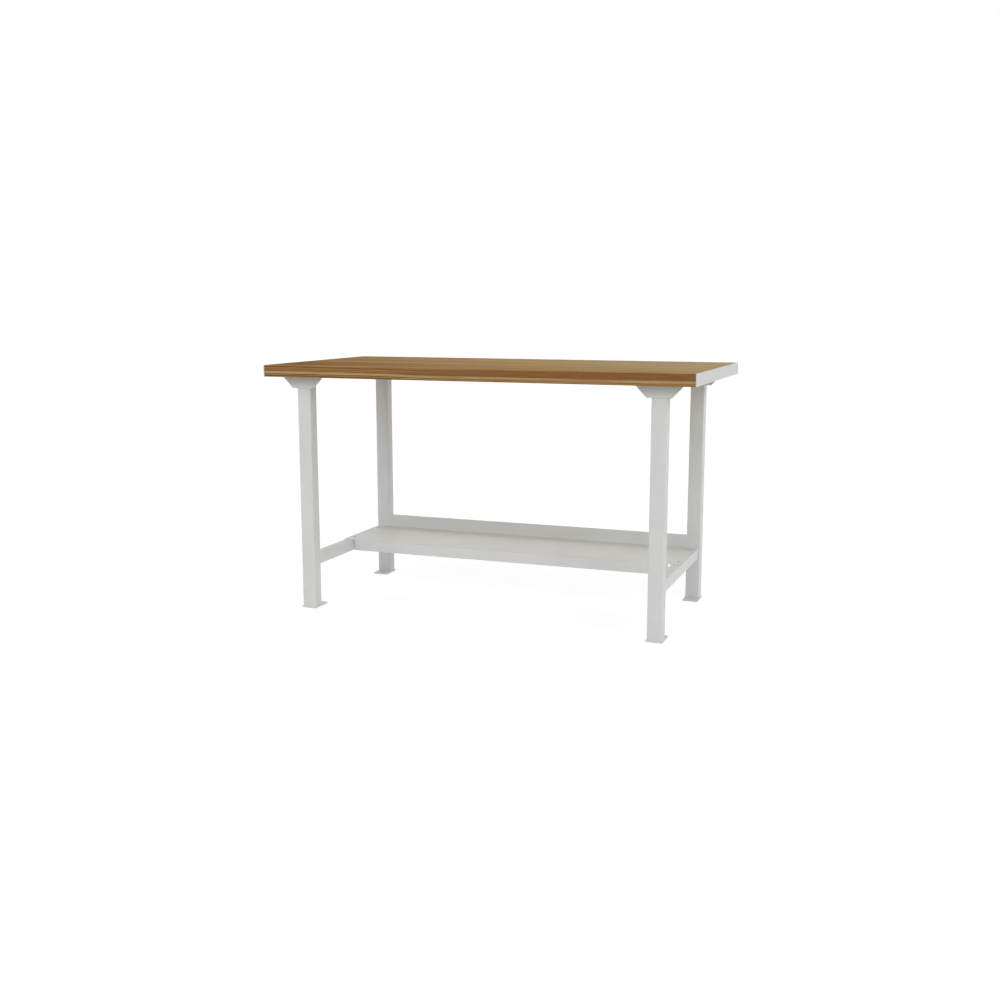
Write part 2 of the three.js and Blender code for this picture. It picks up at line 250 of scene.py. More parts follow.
PAINT_GREY = linear(204, 206, 204)
PAINT_PALE = linear(210, 211, 209)
PAINT_DULL = linear(200, 202, 200)
BAND_GREY = linear(200, 201, 200)
BAND_DULL = linear(193, 194, 193)
WOOD_LIGHT = linear(168, 146, 104)
WOOD_MIDDLE = linear(152, 119, 72)
WOOD_DARK = linear(128, 88, 51)
WOOD_LINE = linear(108, 69, 39)
# The veneer colours are paler and greyer than bare wood. They hold a painted reflection of the white
# surrounding, since the veneer's own gloss is almost off.
VENEER_LIGHT_AND_SHEEN = linear(175, 158, 122)
VENEER_MIDDLE = linear(162, 132, 83)
VENEER_DARK = linear(139, 102, 57)
VENEER_LINE = linear(115, 77, 43)
ZINC_BRIGHT = linear(205, 207, 210)
ZINC_WARM = linear(196, 194, 184)

# Sizes in the materials: features per metre, and heights and widths in metres
PAINT_CLOUDS = 7.0
PAINT_SPECKLES = 1100.0
PAINT_PATCHES = 55.0
PAINT_PEBBLES = 620.0
PAINT_PEBBLE_HEIGHT = 0.0002
PAINT_RUB_WIDTH = 0.0012
BAND_PRESSED = (40.0, 40.0, 900.0)
BAND_PATCHES = 80.0
BAND_PRESSED_HEIGHT = 0.0001
WOOD_PORES = (45.0, 1500.0, 1500.0)
WOOD_PORE_HEIGHT = 0.0002
ZINC_TINTS = 160.0
ZINC_MARKS = 1500.0
ZINC_MARK_HEIGHT = 0.00005

# Stretches of a noise or slope that a mix runs over, shares of a mix, and surface values
NOISE_WIDE = (0.3, 0.7)
NOISE_NARROW = (0.35, 0.65)
EDGE_SAMPLES = 4
EDGE_COSINES = (0.995, 0.85)
PAINT_SPECKLE_SPAN = (0.55, 0.75)
PAINT_SPECKLE_SHARE = 0.35
PAINT_RUB_SHARE = (0.15, 0.6)
PAINT_ROUGHNESS = (0.42, 0.54)
PAINT_GLOSS = 0.4
PAINT_BUMP = 0.35
BAND_ROUGHNESS = (0.4, 0.5)
BAND_GLOSS = 0.4
BAND_BUMP = 0.3
WOOD_FACE_SPAN = (0.6, 0.8)
WOOD_PORE_SPAN = (0.6, 0.7)
WOOD_PORE_SHARE = 0.5
WOOD_ROUGHNESS = (0.62, 0.75)
WOOD_GLOSS = 0.01
WOOD_BUMP = 0.4
ZINC_ROUGHNESS = (0.28, 0.42)
ZINC_BUMP = 0.4

# Grain noises of the wood: features per metre along X and across it, place in the noise, and detail
GRAIN_BEND = (1.3, 5.0, 11.0, 2.0)
GRAIN_BROAD = (0.5, 9.0, 0.0, 2.0)
GRAIN_RINGS = (0.8, 60.0, 4.0, 6.0)
GRAIN_FIBRES = (9.0, 480.0, 8.0, 4.0)
GRAIN_GROWTH = (0.22, 5.0, 14.0, 1.0)
PLY_WANDER = (2.5, 0.0, 5.0, 1.0)
PLY_FRAY = (14.0, 700.0, 7.0, 3.0)
PLY_LINES = (4.0, 420.0, 2.0, 4.0)
GRAIN_ROUGHNESS = 0.62

# Veneer: sideways bend in metres, tone for each metre (a painted sheen, lighter towards the right and
# back), tones of the noises, and late wood
VENEER_BEND = 0.02
VENEER_SHEEN_SLOPE_X = 0.19
VENEER_SHEEN_SLOPE_Y = 0.2
VENEER_BROAD = (-0.25, 0.25)
VENEER_RINGS = (0.05, 0.75)
VENEER_FIBRES = (0.0, 0.4)
LATE_WOOD_LINES = 36.0
LATE_WOOD_SPAN = (0.5, 0.95)
LATE_WOOD_FIBRES = (0.35, 0.6)
LATE_WOOD_SHARE = (0.25, 0.75)

# Plies: places as shares of the board's depth and, for the drift and the heart, of its length
PLY_DRIFT = -0.1
PLY_DRIFT_SPAN = (0.2, 0.5)
PLY_HEART_SPAN = (0.2, 0.667)
PLY_HEART_DEPTH = 0.5
PLY_NOISE_SPAN = (0.2, 0.8)
PLY_WANDER_DEPTH = 0.04
PLY_FRAY_DEPTH = 0.02
PLY_LINE_SPAN = (0.5, 0.6)
PLY_LINE_SHARE = 0.7
PLY_HEART_LINES = (0.34, 0.44)
PLY_HEART_SHARE = (0.15, 0.95)
PLY_BELOW_LINES = (0.36, 0.52)
PLY_BELOW_SHARE = 0.45

# Veneer colours by tone, heart colours by fray, and ply colours by their share of the board's depth
VENEER_STOPS = [
    (0.32, VENEER_LINE), (0.44, VENEER_DARK), (0.54, VENEER_MIDDLE), (0.60, VENEER_MIDDLE),
    (0.80, VENEER_LIGHT_AND_SHEEN)]
HEART_STOPS = [(0.34, WOOD_LINE), (0.46, WOOD_DARK), (0.58, WOOD_DARK), (0.72, WOOD_MIDDLE)]
PLY_STOPS = [
    (0.00, WOOD_MIDDLE), (0.07, WOOD_MIDDLE), (0.09, WOOD_LINE), (0.15, WOOD_LINE),
    (0.17, WOOD_MIDDLE), (0.26, WOOD_MIDDLE), (0.28, WOOD_DARK), (0.34, WOOD_DARK),
    (0.36, WOOD_MIDDLE), (0.41, WOOD_MIDDLE), (0.43, WOOD_LINE), (0.48, WOOD_LINE),
    (0.50, WOOD_LIGHT), (0.69, WOOD_LIGHT), (0.71, WOOD_LINE), (0.76, WOOD_LINE),
    (0.78, WOOD_LIGHT), (0.83, WOOD_MIDDLE), (0.85, WOOD_LINE), (0.91, WOOD_LINE),
    (0.93, WOOD_MIDDLE), (1.00, WOOD_LIGHT)]


def powder_coat():
    """Light grey powder coat: fine pebbled skin, faint clouding, edges rubbed a little paler."""
    shader = Shader("powder_coat")
    place = shader.place()
    clouds = shader.noise(place, PAINT_CLOUDS, detail=4.0)
    colour = shader.mix(shader.remap(clouds, *NOISE_NARROW), PAINT_DULL, PAINT_GREY)
    speckles = shader.noise(place, PAINT_SPECKLES, detail=2.0)
    speckles = shader.remap(speckles, *PAINT_SPECKLE_SPAN, 0.0, PAINT_SPECKLE_SHARE)
    colour = shader.mix(speckles, colour, PAINT_PALE)
    rub = shader.edge_share(PAINT_RUB_WIDTH)
    rub = shader.math("MULTIPLY", rub, shader.remap(clouds, *NOISE_WIDE, *PAINT_RUB_SHARE))
    colour = shader.mix(rub, colour, PAINT_PALE)
    rough = shader.remap(shader.noise(place, PAINT_PATCHES), *NOISE_WIDE, *PAINT_ROUGHNESS)
    shader.set(Base_Color=colour, Roughness=rough, Specular_IOR_Level=PAINT_GLOSS)
    pebbles = shader.noise(place, PAINT_PEBBLES, detail=2.0, roughness=0.6)
    shader.bump(pebbles, PAINT_PEBBLE_HEIGHT, PAINT_BUMP)
    return shader.material


def edge_band():
    """Grey band glued on the worktop's ends: smooth plastic with a faint pressed grain."""
    shader = Shader("edge_band")
    place = shader.place()
    pressed = shader.noise(shader.stretched(place, BAND_PRESSED))
    colour = shader.mix(shader.remap(pressed, *NOISE_WIDE), BAND_DULL, BAND_GREY)
    rough = shader.remap(shader.noise(place, BAND_PATCHES), *NOISE_WIDE, *BAND_ROUGHNESS)
    shader.set(Base_Color=colour, Roughness=rough, Specular_IOR_Level=BAND_GLOSS)
    shader.bump(pressed, BAND_PRESSED_HEIGHT, BAND_BUMP)
    return shader.material


def grain(shader, x, across, kind):
    """Noise drawn out along X, of one of the kinds listed above."""
    along_count, across_count, place, detail = kind
    along = shader.math("MULTIPLY", x, along_count)
    across = shader.math("MULTIPLY", across, across_count)
    return shader.noise(shader.join(along, across, place), detail=detail, roughness=GRAIN_ROUGHNESS)


def veneer_tone(shader, x, y):
    """Colour of the faces: streaks and growth lines along X, and a painted sheen that makes them
    lighter towards the right and back, darker at the front left.
    """
    bend = shader.remap(grain(shader, x, y, GRAIN_BEND), 0.0, 1.0, -VENEER_BEND, VENEER_BEND)
    across = shader.math("ADD", y, bend)
    broad = grain(shader, x, across, GRAIN_BROAD)
    rings = grain(shader, x, across, GRAIN_RINGS)
    fibres = grain(shader, x, across, GRAIN_FIBRES)
    # Painted sheen: these slopes make the veneer lighter towards the right and the back.
    tone = shader.math("ADD", shader.math("MULTIPLY", x, VENEER_SHEEN_SLOPE_X),
                       shader.math("MULTIPLY", y, VENEER_SHEEN_SLOPE_Y))
    for noise, tones in ((broad, VENEER_BROAD), (rings, VENEER_RINGS), (fibres, VENEER_FIBRES)):
        tone = shader.math("ADD", tone, shader.remap(noise, 0.0, 1.0, *tones))
    growth = grain(shader, x, across, GRAIN_GROWTH)
    line = shader.math("FRACT", shader.math("MULTIPLY", growth, LATE_WOOD_LINES))
    late_wood = shader.remap(line, *LATE_WOOD_SPAN, smooth=True)
    share = shader.remap(fibres, *LATE_WOOD_FIBRES, *LATE_WOOD_SHARE)
    late_wood = shader.math("MULTIPLY", late_wood, share)
    return shader.mix(late_wood, shader.ramp(tone, VENEER_STOPS), VENEER_DARK)


def ply_tone(shader, x, z):
    """Colour of the long edges: stacked plies that wander a little, darker towards the right."""
    low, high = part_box("worktop")
    depth = shader.remap(z, high.z, low.z)
    along = shader.remap(x, low.x, high.x)
    drift = shader.remap(along, *PLY_DRIFT_SPAN, 0.0, PLY_DRIFT, smooth=True)
    depth = shader.math("ADD", depth, drift)
    wander = grain(shader, x, z, PLY_WANDER)
    wander = shader.remap(wander, *PLY_NOISE_SPAN, PLY_WANDER_DEPTH, -PLY_WANDER_DEPTH)
    depth = shader.math("ADD", depth, wander)
    fray = grain(shader, x, z, PLY_FRAY)
    edge = shader.remap(fray, *PLY_NOISE_SPAN, -PLY_FRAY_DEPTH, PLY_FRAY_DEPTH)
    depth = shader.math("ADD", depth, edge)
    plies = shader.ramp(depth, PLY_STOPS)
    lines = grain(shader, x, z, PLY_LINES)
    dark = shader.remap(lines, *PLY_LINE_SPAN, 0.0, PLY_LINE_SHARE)
    plies = shader.mix(dark, plies, WOOD_DARK)
    upper = shader.math("LESS_THAN", depth, PLY_HEART_DEPTH)
    right = shader.remap(along, *PLY_HEART_SPAN, smooth=True)
    heart = shader.remap(lines, *PLY_HEART_LINES, *PLY_HEART_SHARE)
    heart = shader.math("MULTIPLY", right, heart)
    streaks = shader.ramp(fray, HEART_STOPS)
    plies = shader.mix(shader.math("MULTIPLY", heart, upper), plies, streaks)
    below = shader.remap(lines, *PLY_BELOW_LINES, 0.0, PLY_BELOW_SHARE)
    below = shader.math("MULTIPLY", right, below)
    below = shader.math("MULTIPLY", below, shader.math("SUBTRACT", 1.0, upper))
    return shader.mix(below, plies, WOOD_MIDDLE)


def worktop_wood():
    """Oiled plywood board: veneer on the faces, plies on the long edges."""
    shader = Shader("worktop_wood")
    place = shader.place()
    x, y, z = shader.split(place)
    normal_z = shader.split(shader.node("ShaderNodeNewGeometry").outputs["Normal"])[2]
    face = shader.remap(shader.math("ABSOLUTE", normal_z), *WOOD_FACE_SPAN)
    colour = shader.mix(face, ply_tone(shader, x, z), veneer_tone(shader, x, y))
    pores = shader.noise(shader.stretched(place, WOOD_PORES), roughness=0.6)
    dark = shader.remap(pores, *WOOD_PORE_SPAN, 0.0, WOOD_PORE_SHARE)
    colour = shader.mix(dark, colour, WOOD_LINE)
    rough = shader.remap(pores, *NOISE_WIDE, *WOOD_ROUGHNESS)
    shader.set(Base_Color=colour, Roughness=rough, Specular_IOR_Level=WOOD_GLOSS)
    shader.bump(pores, WOOD_PORE_HEIGHT, WOOD_BUMP)
    return shader.material


def zinc_plate():
    """Bright zinc on the fasteners: metal with a faint warm tint and turned marks."""
    shader = Shader("zinc_plate")
    place = shader.place()
    tint = shader.noise(place, ZINC_TINTS, detail=2.0)
    colour = shader.mix(shader.remap(tint, *NOISE_NARROW), ZINC_BRIGHT, ZINC_WARM)
    marks = shader.noise(place, ZINC_MARKS, detail=2.0)
    rough = shader.remap(marks, *NOISE_WIDE, *ZINC_ROUGHNESS)
    shader.set(Base_Color=colour, Metallic=1.0, Roughness=rough)
    shader.bump(marks, ZINC_MARK_HEIGHT, ZINC_BUMP)
    return shader.material


PAINT = powder_coat()
BAND = edge_band()
WOOD = worktop_wood()
ZINC = zinc_plate()


# Mesh building

def finished(name, mesh, material, slot, *nodes):
    """A piece of the table from a mesh in place, standing for the given nodes."""
    mesh.materials.clear()
    mesh.materials.append(material)
    mesh.shade_smooth()
    mesh.set_sharp_from_angle(angle=SMOOTH_ANGLE)
    piece = bpy.data.objects.new(name, mesh)
    bpy.context.scene.collection.objects.link(piece)
    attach(piece, "root")
    if nodes:
        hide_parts(*nodes)
    return piece


def mesh_from(name, builder):
    mesh = bpy.data.meshes.new(name)
    bmesh.ops.recalc_face_normals(builder, faces=builder.faces)
    builder.to_mesh(mesh)
    builder.free()
    return mesh


def add_rings(builder, rings, hollow=False):
    """Skins rings of as many points each. A hollow skin closes on itself, another gets end caps."""
    loops = [[builder.verts.new(point) for point in ring] for ring in rings]
    count = len(loops[0])
    pairs = list(zip(loops, loops[1:]))
    if hollow:
        pairs.append((loops[-1], loops[0]))
    for first, second in pairs:
        for k in range(count):
            after = (k + 1) % count
            builder.faces.new((first[k], first[after], second[after], second[k]))
    if not hollow:
        builder.faces.new(loops[0])
        builder.faces.new(loops[-1])


def rings_mesh(name, rings, hollow=False):
    builder = bmesh.new()
    add_rings(builder, rings, hollow)
    return mesh_from(name, builder)


def bevel(piece, width):
    edge = piece.modifiers.new("edge", "BEVEL")
    edge.width = width
    edge.segments = BEVEL_SEGMENTS
    edge.limit_method = "ANGLE"
    edge.angle_limit = BEVEL_ANGLE
    return piece


def rounded_outline(half_u, half_v, radius, side_points=1):
    """Outline round the origin, with arcs at its corners and the given steps along each side."""
    arcs = []
    for sign_u, sign_v, start in ((1, -1, -90), (1, 1, 0), (-1, 1, 90), (-1, -1, 180)):
        centre_u, centre_v = sign_u * (half_u - radius), sign_v * (half_v - radius)
        arcs.append([
            (centre_u + radius * math.cos(math.radians(start + 90 * k / CORNER_SEGMENTS)),
             centre_v + radius * math.sin(math.radians(start + 90 * k / CORNER_SEGMENTS)))
            for k in range(CORNER_SEGMENTS + 1)])
    outline = []
    for arc, following in zip(arcs, arcs[1:] + arcs[:1]):
        outline += arc
        start, stop = Vector(arc[-1]), Vector(following[0])
        outline += [tuple(start.lerp(stop, k / side_points)) for k in range(1, side_points)]
    return outline


def middle_and_half(node):
    low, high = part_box(node)
    return (low + high) / 2, (high - low) / 2


# Steel frame

def tube(node, axis, radius):
    """Rectangular tube along an axis, with its bore, in a node's place."""
    middle, half = middle_and_half(node)
    across = [k for k in range(3) if k != axis]
    half_u, half_v = half[across[0]], half[across[1]]
    outside = rounded_outline(half_u, half_v, radius)
    inside = rounded_outline(half_u - TUBE_WALL, half_v - TUBE_WALL, radius - TUBE_WALL)

    def ring(outline, sign):
        points = []
        for u, v in outline:
            point = middle.copy()
            point[across[0]] += u
            point[across[1]] += v
            point[axis] += sign * half[axis]
            points.append(point)
        return points

    rings = [ring(outside, -1), ring(outside, 1), ring(inside, 1), ring(inside, -1)]
    name = node + "_tube"
    return finished(name, rings_mesh(name, rings, hollow=True), PAINT, "frame_paint", node)


def foot_plate(row, end):
    """Plate with rounded corners, softened edges and an anchor hole in its tongue."""
    node = f"foot_plate_{row}_{end}"
    middle, half = middle_and_half(node)
    leg_middle, leg_half = middle_and_half(f"leg_{row}_{end}")
    inward = 1 if row == "front" else -1
    tongue_root = leg_middle.y + inward * leg_half.y
    tongue_tip = middle.y + inward * half.y
    hole = Vector((middle.x, (tongue_root + tongue_tip) / 2))
    outline = rounded_outline(half.x, half.y, PLATE_CORNER, PLATE_SIDE_POINTS)
    softened = rounded_outline(half.x - PLATE_EDGE, half.y - PLATE_EDGE, PLATE_CORNER - PLATE_EDGE,
                               PLATE_SIDE_POINTS)
    bottom, top = middle.z - half.z, middle.z + half.z

    def outer(points, z):
        return [(middle.x + u, middle.y + v, z) for u, v in points]

    def inner(radius, z):
        points = []
        for u, v in outline:
            ray = (Vector((middle.x + u, middle.y + v)) - hole).normalized()
            points.append((hole.x + radius * ray.x, hole.y + radius * ray.y, z))
        return points

    rings = [
        outer(softened, bottom), outer(outline, bottom + PLATE_EDGE),
        outer(outline, top - PLATE_EDGE), outer(softened, top),
        inner(ANCHOR_RADIUS + PLATE_EDGE, top), inner(ANCHOR_RADIUS, top - PLATE_EDGE),
        inner(ANCHOR_RADIUS, bottom + PLATE_EDGE), inner(ANCHOR_RADIUS + PLATE_EDGE, bottom),
    ]
    name = node + "_steel"
    return finished(name, rings_mesh(name, rings, hollow=True), PAINT, "frame_paint", node)


def quarter(radius, steps):
    """Sines and cosines of a quarter turn, scaled by a radius."""
    turns = [math.pi / 2 * k / steps for k in range(steps + 1)]
    return [(radius * math.sin(turn), radius * math.cos(turn)) for turn in turns]


def head_bracket(row, end):
    """Folded angle: a trapezoid web outside the leg, and a flange with round corners over it."""
    node = f"head_bracket_{row}_{end}"
    low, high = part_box(node)
    inward = 1 if row == "front" else -1
    face = low.y if row == "front" else high.y
    depth = high.y - low.y
    full = (high.x - low.x) / 2
    middle_x = (low.x + high.x) / 2
    toe = middle_and_half(f"leg_{row}_{end}")[1].x + BRACKET_TOE
    outside = BRACKET_SHEET + BRACKET_BEND
    slope = (full - toe) / (high.z - BRACKET_SHEET - low.z)
    stations = []
    for rise, across in quarter(BRACKET_TOE_CORNER, BEND_SEGMENTS):
        z = low.z + BRACKET_TOE_CORNER - across
        width = toe - BRACKET_TOE_CORNER + rise + slope * (z - low.z)
        stations.append(((0, z), (BRACKET_SHEET, z), width))
    stations.append(((0, high.z - outside), (BRACKET_SHEET, high.z - outside),
                     toe + slope * (high.z - outside - low.z)))
    for k in range(1, BEND_SEGMENTS + 1):
        turn = math.pi / 2 * k / BEND_SEGMENTS
        along, up = math.cos(turn), math.sin(turn)
        base = high.z - outside
        stations.append(((outside - outside * along, base + outside * up),
                         (outside - BRACKET_BEND * along, base + BRACKET_BEND * up), full))
    for reach, across in quarter(BRACKET_FLANGE_CORNER, BEND_SEGMENTS):
        d = depth - BRACKET_FLANGE_CORNER + reach
        width = full - BRACKET_FLANGE_CORNER + across
        stations.append(((d, high.z), (d, high.z - BRACKET_SHEET), width))
    rings = []
    for (d_out, z_out), (d_in, z_in), width in stations:
        y_out, y_in = face + inward * d_out, face + inward * d_in
        rings.append([(middle_x - width, y_out, z_out), (middle_x + width, y_out, z_out),
                      (middle_x + width, y_in, z_in), (middle_x - width, y_in, z_in)])
    name = node + "_sheet"
    piece = finished(name, rings_mesh(name, rings), PAINT, "frame_paint", node)
    return bevel(piece, SHEET_EDGE)


def shelf_stations():
    """Upper and lower skin of the shelf's section, from the flange's foot to the upstand's top."""
    low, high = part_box("shelf")
    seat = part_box("side_rail_left")[1].z
    underside = seat + (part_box("leg_front_left")[0].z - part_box("foot_plate_front_left")[1].z)
    top = underside + SHELF_SHEET
    outside = SHELF_BEND + SHELF_SHEET
    front, rear = low.y, high.y
    stations = [((front, low.z), (front + SHELF_SHEET, low.z))]
    for k in range(BEND_SEGMENTS + 1):
        turn = math.pi / 2 * k / BEND_SEGMENTS
        back, up = math.cos(turn), math.sin(turn)
        stations.append(((front + outside - outside * back, top - outside + outside * up),
                         (front + outside - SHELF_BEND * back, top - outside + SHELF_BEND * up)))
    step = len(stations) - 1
    for k in range(BEND_SEGMENTS + 1):
        turn = math.pi / 2 * k / BEND_SEGMENTS
        back, up = math.sin(turn), math.cos(turn)
        stations.append(((rear - outside + SHELF_BEND * back, underside + outside - SHELF_BEND * up),
                         (rear - outside + outside * back, underside + outside - outside * up)))
    stations.append(((rear - SHELF_SHEET, high.z), (rear, high.z)))
    return stations, step


def shelf():
    """One folded sheet. Its flange ends short of the rails, and its flat runs out over them."""
    low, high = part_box("shelf")
    full = (high.x - low.x) / 2
    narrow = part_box("side_rail_right")[0].x - SHELF_FLANGE_RAIL_GAP
    stations, step = shelf_stations()
    builder = bmesh.new()

    def row(index):
        half_widths = (full,) if index > step else (narrow,) if index < step else (full, narrow)
        places = sorted({sign * half for half in half_widths for sign in (-1, 1)})
        upper, lower = stations[index]
        return [[builder.verts.new((x, *skin)) for x in places] for skin in (upper, lower)]

    rows = [row(index) for index in range(len(stations))]
    for index in range(len(rows) - 1):
        first, second = rows[index], rows[index + 1]
        if index + 1 == step:
            second = [skin[1:-1] for skin in second]
        for skin in range(2):
            builder.faces.new(first[skin] + second[skin][::-1])
        for side in (0, -1):
            builder.faces.new((first[0][side], second[0][side], second[1][side], first[1][side]))
    for side, beside in ((0, 1), (-1, -2)):
        upper, lower = rows[step]
        builder.faces.new((upper[side], upper[beside], lower[beside], lower[side]))
    for upper, lower in (rows[0], rows[-1]):
        builder.faces.new(upper + lower[::-1])
    piece = finished("shelf_sheet", mesh_from("shelf_sheet", builder), PAINT, "frame_paint", "shelf")
    return bevel(piece, SHEET_EDGE)


# Weld beads

def add_bead(builder, start, stop):
    """Rippled bead along a straight seam, drawn to a point at both ends."""
    start, stop = Vector(start), Vector(stop)
    along = (stop - start).normalized()
    aside = along.orthogonal().normalized()
    other = along.cross(aside)
    length = (stop - start).length
    count = max(WELD_LEAST_STEPS, round(length / WELD_PITCH * WELD_STEPS))
    rings = []
    for k in range(count + 1):
        travel = length * k / count
        inset = min(travel, length - travel, WELD_RADIUS) / WELD_RADIUS
        taper = math.sqrt(max(WELD_END, math.sin(math.pi / 2 * inset)))
        ripple = 1 + WELD_RIPPLE * math.sin(2 * math.pi * travel / WELD_PITCH)
        radius = WELD_RADIUS * taper * ripple
        centre = start + along * travel
        rings.append([
            centre + aside * radius * math.cos(2 * math.pi * n / WELD_SIDES)
            + other * radius * math.sin(2 * math.pi * n / WELD_SIDES) for n in range(WELD_SIDES)])
    add_rings(builder, rings)


def welds(name, seams):
    builder = bmesh.new()
    for start, stop in seams:
        add_bead(builder, start, stop)
    return finished(name, mesh_from(name, builder), PAINT, "frame_paint")


def corner_welds(row, end):
    """Beads of one leg: round its foot, under the bracket's flange and along the bracket's web."""
    leg_low, leg_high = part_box(f"leg_{row}_{end}")
    plate_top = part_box(f"foot_plate_{row}_{end}")[1].z
    bracket_low, bracket_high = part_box(f"head_bracket_{row}_{end}")
    left, right = leg_low.x + LEG_CORNER, leg_high.x - LEG_CORNER
    near, far = leg_low.y + LEG_CORNER, leg_high.y - LEG_CORNER
    foot = [((left, y, plate_top), (right, y, plate_top)) for y in (leg_low.y, leg_high.y)]
    foot += [((x, near, plate_top), (x, far, plate_top)) for x in (leg_low.x, leg_high.x)]
    welds(f"weld_foot_{row}_{end}", foot)
    under = bracket_high.z - BRACKET_SHEET
    face, inner = (leg_low.y, leg_high.y) if row == "front" else (leg_high.y, leg_low.y)
    head = [((x, near, under), (x, far, under)) for x in (leg_low.x, leg_high.x)]
    head.append(((left, inner, under), (right, inner, under)))
    head.append(((left, face, bracket_low.z), (right, face, bracket_low.z)))
    head += [((x, face, bracket_low.z + LEG_CORNER), (x, face, under - LEG_CORNER))
             for x in (leg_low.x, leg_high.x)]
    welds(f"weld_head_{row}_{end}", head)


def rail_welds(end):
    """Beads where the side rail meets its legs. Under the shelf's edge the top seam is ground flat."""
    low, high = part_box(f"side_rail_{end}")
    left, right = low.x + RAIL_CORNER, high.x - RAIL_CORNER
    bottom, top = low.z + RAIL_CORNER, high.z - RAIL_CORNER
    seams = [((left, low.y, high.z), (right, low.y, high.z))]
    for y in (low.y, high.y):
        seams.append(((left, y, low.z), (right, y, low.z)))
        seams += [((x, y, bottom), (x, y, top)) for x in (low.x, high.x)]
    welds(f"weld_rail_{end}", seams)


# Worktop and end bands

def slab(name, node, edge, end_edge, material, slot):
    """Board along X with rounded long edges and softened ends."""
    middle, half = middle_and_half(node)
    outline = rounded_outline(half.y, half.z, edge)
    softened = rounded_outline(half.y - end_edge, half.z - end_edge, edge - end_edge)

    def ring(points, x):
        return [(x, middle.y + u, middle.z + v) for u, v in points]

    left, right = middle.x - half.x, middle.x + half.x
    rings = [ring(softened, left), ring(outline, left + end_edge),
             ring(outline, right - end_edge), ring(softened, right)]
    return finished(name, rings_mesh(name, rings), material, slot, node)


# Screws

def cut_mesh(mesh, cutters):
    """The mesh less the cutters, as a new mesh."""
    body = bpy.data.objects.new("cut_body", mesh)
    bpy.context.scene.collection.objects.link(body)
    tools = []
    for cutter in cutters:
        tool = bpy.data.objects.new("cut_tool", cutter)
        bpy.context.scene.collection.objects.link(tool)
        step = body.modifiers.new("cut", "BOOLEAN")
        step.operation = "DIFFERENCE"
        step.object = tool
        tools.append(tool)
    graph = bpy.context.evaluated_depsgraph_get()
    made = bpy.data.meshes.new_from_object(body.evaluated_get(graph))
    for item in [body, *tools]:
        bpy.data.objects.remove(item)
    return made


def block_mesh(half_x, half_y, bottom, top):
    corners = [(-half_x, -half_y), (half_x, -half_y), (half_x, half_y), (-half_x, half_y)]
    return rings_mesh("block", [[(x, y, z) for x, y in corners] for z in (bottom, top)])


def screw_mesh(node, head_height, shank_radius, tip):
    """Domed head with a cross recess on Z = 0, and a shank with a drawn tip, as big as a node."""
    half = middle_and_half(node)[1]
    head_radius = half.x
    shank_length = 2 * half.z - head_height
    rim = head_height * HEAD_RIM_SHARE
    profile = [(shank_radius * SCREW_TIP_SHARE, -shank_length), (shank_radius, tip - shank_length),
               (shank_radius, 0.0), (head_radius, 0.0)]
    for rise, reach in quarter(1.0, HEAD_STEPS)[:-1]:
        profile.append((head_radius * reach, rim + (head_height - rim) * rise))
    turns = [2 * math.pi * n / HEAD_SEGMENTS for n in range(HEAD_SEGMENTS)]
    rings = [[(radius * math.cos(turn), radius * math.sin(turn), z) for turn in turns]
             for radius, z in profile]
    span, slot = head_radius * RECESS_SPAN_SHARE, head_radius * RECESS_SLOT_SHARE
    bottom = head_height * (1 - RECESS_DEPTH_SHARE)
    cutters = [block_mesh(span, slot, bottom, head_height + CUTTER_EXCESS),
               block_mesh(slot, span, bottom, head_height + CUTTER_EXCESS)]
    return cut_mesh(rings_mesh(node, rings), cutters)


def screw(node, shape, seat_z, upside_down):
    """One screw in a node's place, with its head's underside at the given height."""
    middle = middle_and_half(node)[0]
    mesh = shape.copy()
    if upside_down:
        mesh.transform(Matrix.Rotation(math.pi, 4, "X"))
    mesh.transform(Matrix.Translation((middle.x, middle.y, seat_z)))
    return finished(node + "_zinc", mesh, ZINC, "zinc_fastener", node)


def screws():
    """The wood screws hang head down under the brackets, the shelf screws stand head up."""
    wood_nodes = [node for node in sorted(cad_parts) if node.startswith("worktop_screw")]
    shelf_nodes = [node for node in sorted(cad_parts) if node.startswith("shelf_screw")]
    wood_shape = screw_mesh(wood_nodes[0], **WOOD_SCREW)
    shelf_shape = screw_mesh(shelf_nodes[0], **SHELF_SCREW)
    for node in wood_nodes:
        screw(node, wood_shape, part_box(node)[0].z + WOOD_SCREW["head_height"], True)
    for node in shelf_nodes:
        screw(node, shelf_shape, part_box(node)[1].z - SHELF_SCREW["head_height"], False)


# Stage: floor, surrounding, lamp and camera

def ray_share(tree):
    """1 for rays that show the background: seen, mirrored or looked through."""
    path = tree.nodes.new("ShaderNodeLightPath")
    share = path.outputs["Is Camera Ray"]
    for kind in ("Is Glossy Ray", "Is Transmission Ray"):
        either = tree.nodes.new("ShaderNodeMath")
        either.operation = "MAXIMUM"
        tree.links.new(share, either.inputs[0])
        tree.links.new(path.outputs[kind], either.inputs[1])
        share = either.outputs[0]
    return share


